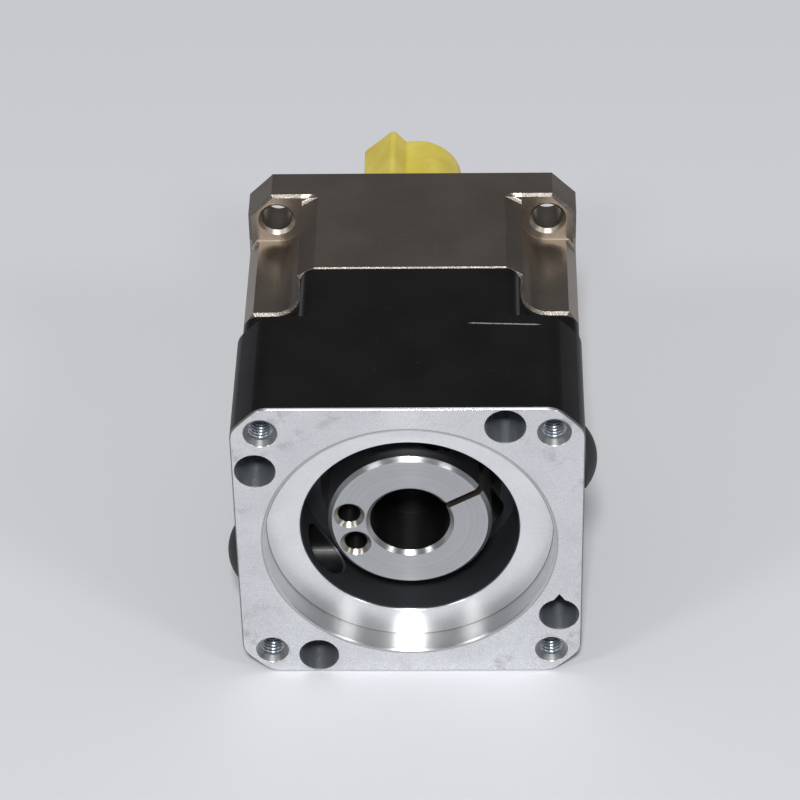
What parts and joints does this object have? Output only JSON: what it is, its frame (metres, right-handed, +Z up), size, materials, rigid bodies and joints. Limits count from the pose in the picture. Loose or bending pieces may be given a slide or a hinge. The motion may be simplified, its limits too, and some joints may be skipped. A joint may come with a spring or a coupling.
{
  "type": "planetary gear reducer",
  "caption": "In-line planetary gear reducer with square flanges, a slit clamp hub for the motor shaft and a keyed output shaft under a yellow sleeve.",
  "frame": {"origin": "centre of the output flange's mounting face, on the shaft's axis", "axes": "+Y along the output shaft, out of the gearbox; +Z up as the gearbox lies on its side; the motor bolts on at -Y"},
  "size_m": [0.065, 0.1113, 0.06],
  "materials": {
    "nickel_steel": "blasted and nickel plated, warm dark grey satin",
    "black_anodised": "black anodised, with bare machined motor face and register",
    "ground_steel": "turned and ground steel",
    "gear_steel": "hardened gear steel",
    "bearing_steel": "polished bearing steel",
    "spring_steel": "phosphated spring steel",
    "black_screw": "black oxide alloy steel",
    "black_rubber": "nitrile rubber, semi matt",
    "yellow_plastic": "soft yellow plastic, slightly translucent"
  },
  "bodies": {
    "gearbox_body": {"gear_housing": "nickel_steel", "motor_adapter": "black_anodised", "ring_gear": "gear_steel", "front_bearing_outer_ring": "bearing_steel", "rear_bearing_outer_ring": "bearing_steel", "input_bearing_outer_ring": "bearing_steel", "front_bearing_clip": "spring_steel", "rear_bearing_clip": "spring_steel", "input_bearing_clip": "spring_steel", "output_seal": "black_rubber", "input_seal": "black_rubber", "housing_o_ring": "black_rubber", "adapter_screw_1": "black_screw", "adapter_screw_2": "black_screw", "adapter_screw_3": "black_screw", "adapter_screw_4": "black_screw"},
    "output_carrier": {"planet_carrier": "ground_steel", "output_key": "ground_steel", "planet_pin_1": "bearing_steel", "planet_pin_2": "bearing_steel", "planet_pin_3": "bearing_steel", "planet_washers": "ground_steel", "front_bearing_inner_ring": "bearing_steel", "rear_bearing_inner_ring": "bearing_steel", "output_shaft_clip": "spring_steel"},
    "input_rotor": {"input_shaft": "ground_steel", "sun_gear": "gear_steel", "clamp_screw": "black_screw", "input_bearing_inner_ring": "bearing_steel", "input_shaft_clip": "spring_steel"},
    "planet_1": {"planet_gear_1": "gear_steel", "planet_needles_1": "bearing_steel"},
    "planet_2": {"planet_gear_2": "gear_steel", "planet_needles_2": "bearing_steel"},
    "planet_3": {"planet_gear_3": "gear_steel", "planet_needles_3": "bearing_steel"},
    "front_ball_set": {"front_bearing_balls": "bearing_steel"},
    "rear_ball_set": {"rear_bearing_balls": "bearing_steel"},
    "input_ball_set": {"input_bearing_balls": "bearing_steel"},
    "right_plug": {"access_plug_right": "black_rubber"},
    "left_plug": {"access_plug_left": "black_rubber"},
    "sleeve": {"shaft_sleeve": "yellow_plastic"}
  },
  "joints": [
    {"name": "output_spin", "type": "hinge", "parent": "gearbox_body", "child": "output_carrier", "pos_m": [0, 0, 0], "axis": [0, 1, 0], "continuous": true},
    {"name": "input_spin", "type": "hinge", "parent": "gearbox_body", "child": "input_rotor", "pos_m": [0, -0.05, 0], "axis": [0, 1, 0], "continuous": true},
    {"name": "planet_1_spin", "type": "hinge", "parent": "output_carrier", "child": "planet_1", "pos_m": [0, -0.0225, 0.0135], "axis": [0, 1, 0], "continuous": true},
    {"name": "planet_2_spin", "type": "hinge", "parent": "output_carrier", "child": "planet_2", "pos_m": [-0.01169, -0.0225, -0.00675], "axis": [0, 1, 0], "continuous": true},
    {"name": "planet_3_spin", "type": "hinge", "parent": "output_carrier", "child": "planet_3", "pos_m": [0.01169, -0.0225, -0.00675], "axis": [0, 1, 0], "continuous": true},
    {"name": "front_balls_orbit", "type": "hinge", "parent": "gearbox_body", "child": "front_ball_set", "pos_m": [0, -0.0075, 0], "axis": [0, 1, 0], "continuous": true},
    {"name": "rear_balls_orbit", "type": "hinge", "parent": "gearbox_body", "child": "rear_ball_set", "pos_m": [0, -0.035, 0], "axis": [0, 1, 0], "continuous": true},
    {"name": "input_balls_orbit", "type": "hinge", "parent": "gearbox_body", "child": "input_ball_set", "pos_m": [0, -0.0445, 0], "axis": [0, 1, 0], "continuous": true},
    {"name": "sleeve_pull", "type": "slide", "parent": "output_carrier", "child": "sleeve", "axis": [0, 1, 0], "range_m": [0, 0.045]},
    {"name": "right_plug_pull", "type": "slide", "parent": "gearbox_body", "child": "right_plug", "axis": [1, 0, 0], "range_m": [0, 0.015]},
    {"name": "left_plug_pull", "type": "slide", "parent": "gearbox_body", "child": "left_plug", "axis": [-1, 0, 0], "range_m": [0, 0.015]}
  ],
  "couplings": [
    {"joint": "input_spin", "follows": "output_spin", "ratio": 5},
    {"joint": "planet_1_spin", "follows": "output_spin", "ratio": -2.6667},
    {"joint": "planet_2_spin", "follows": "output_spin", "ratio": -2.6667},
    {"joint": "planet_3_spin", "follows": "output_spin", "ratio": -2.6667},
    {"joint": "front_balls_orbit", "follows": "output_spin", "ratio": 0.41632},
    {"joint": "rear_balls_orbit", "follows": "output_spin", "ratio": 0.44833},
    {"joint": "input_balls_orbit", "follows": "output_spin", "ratio": 2.1423}
  ]
}
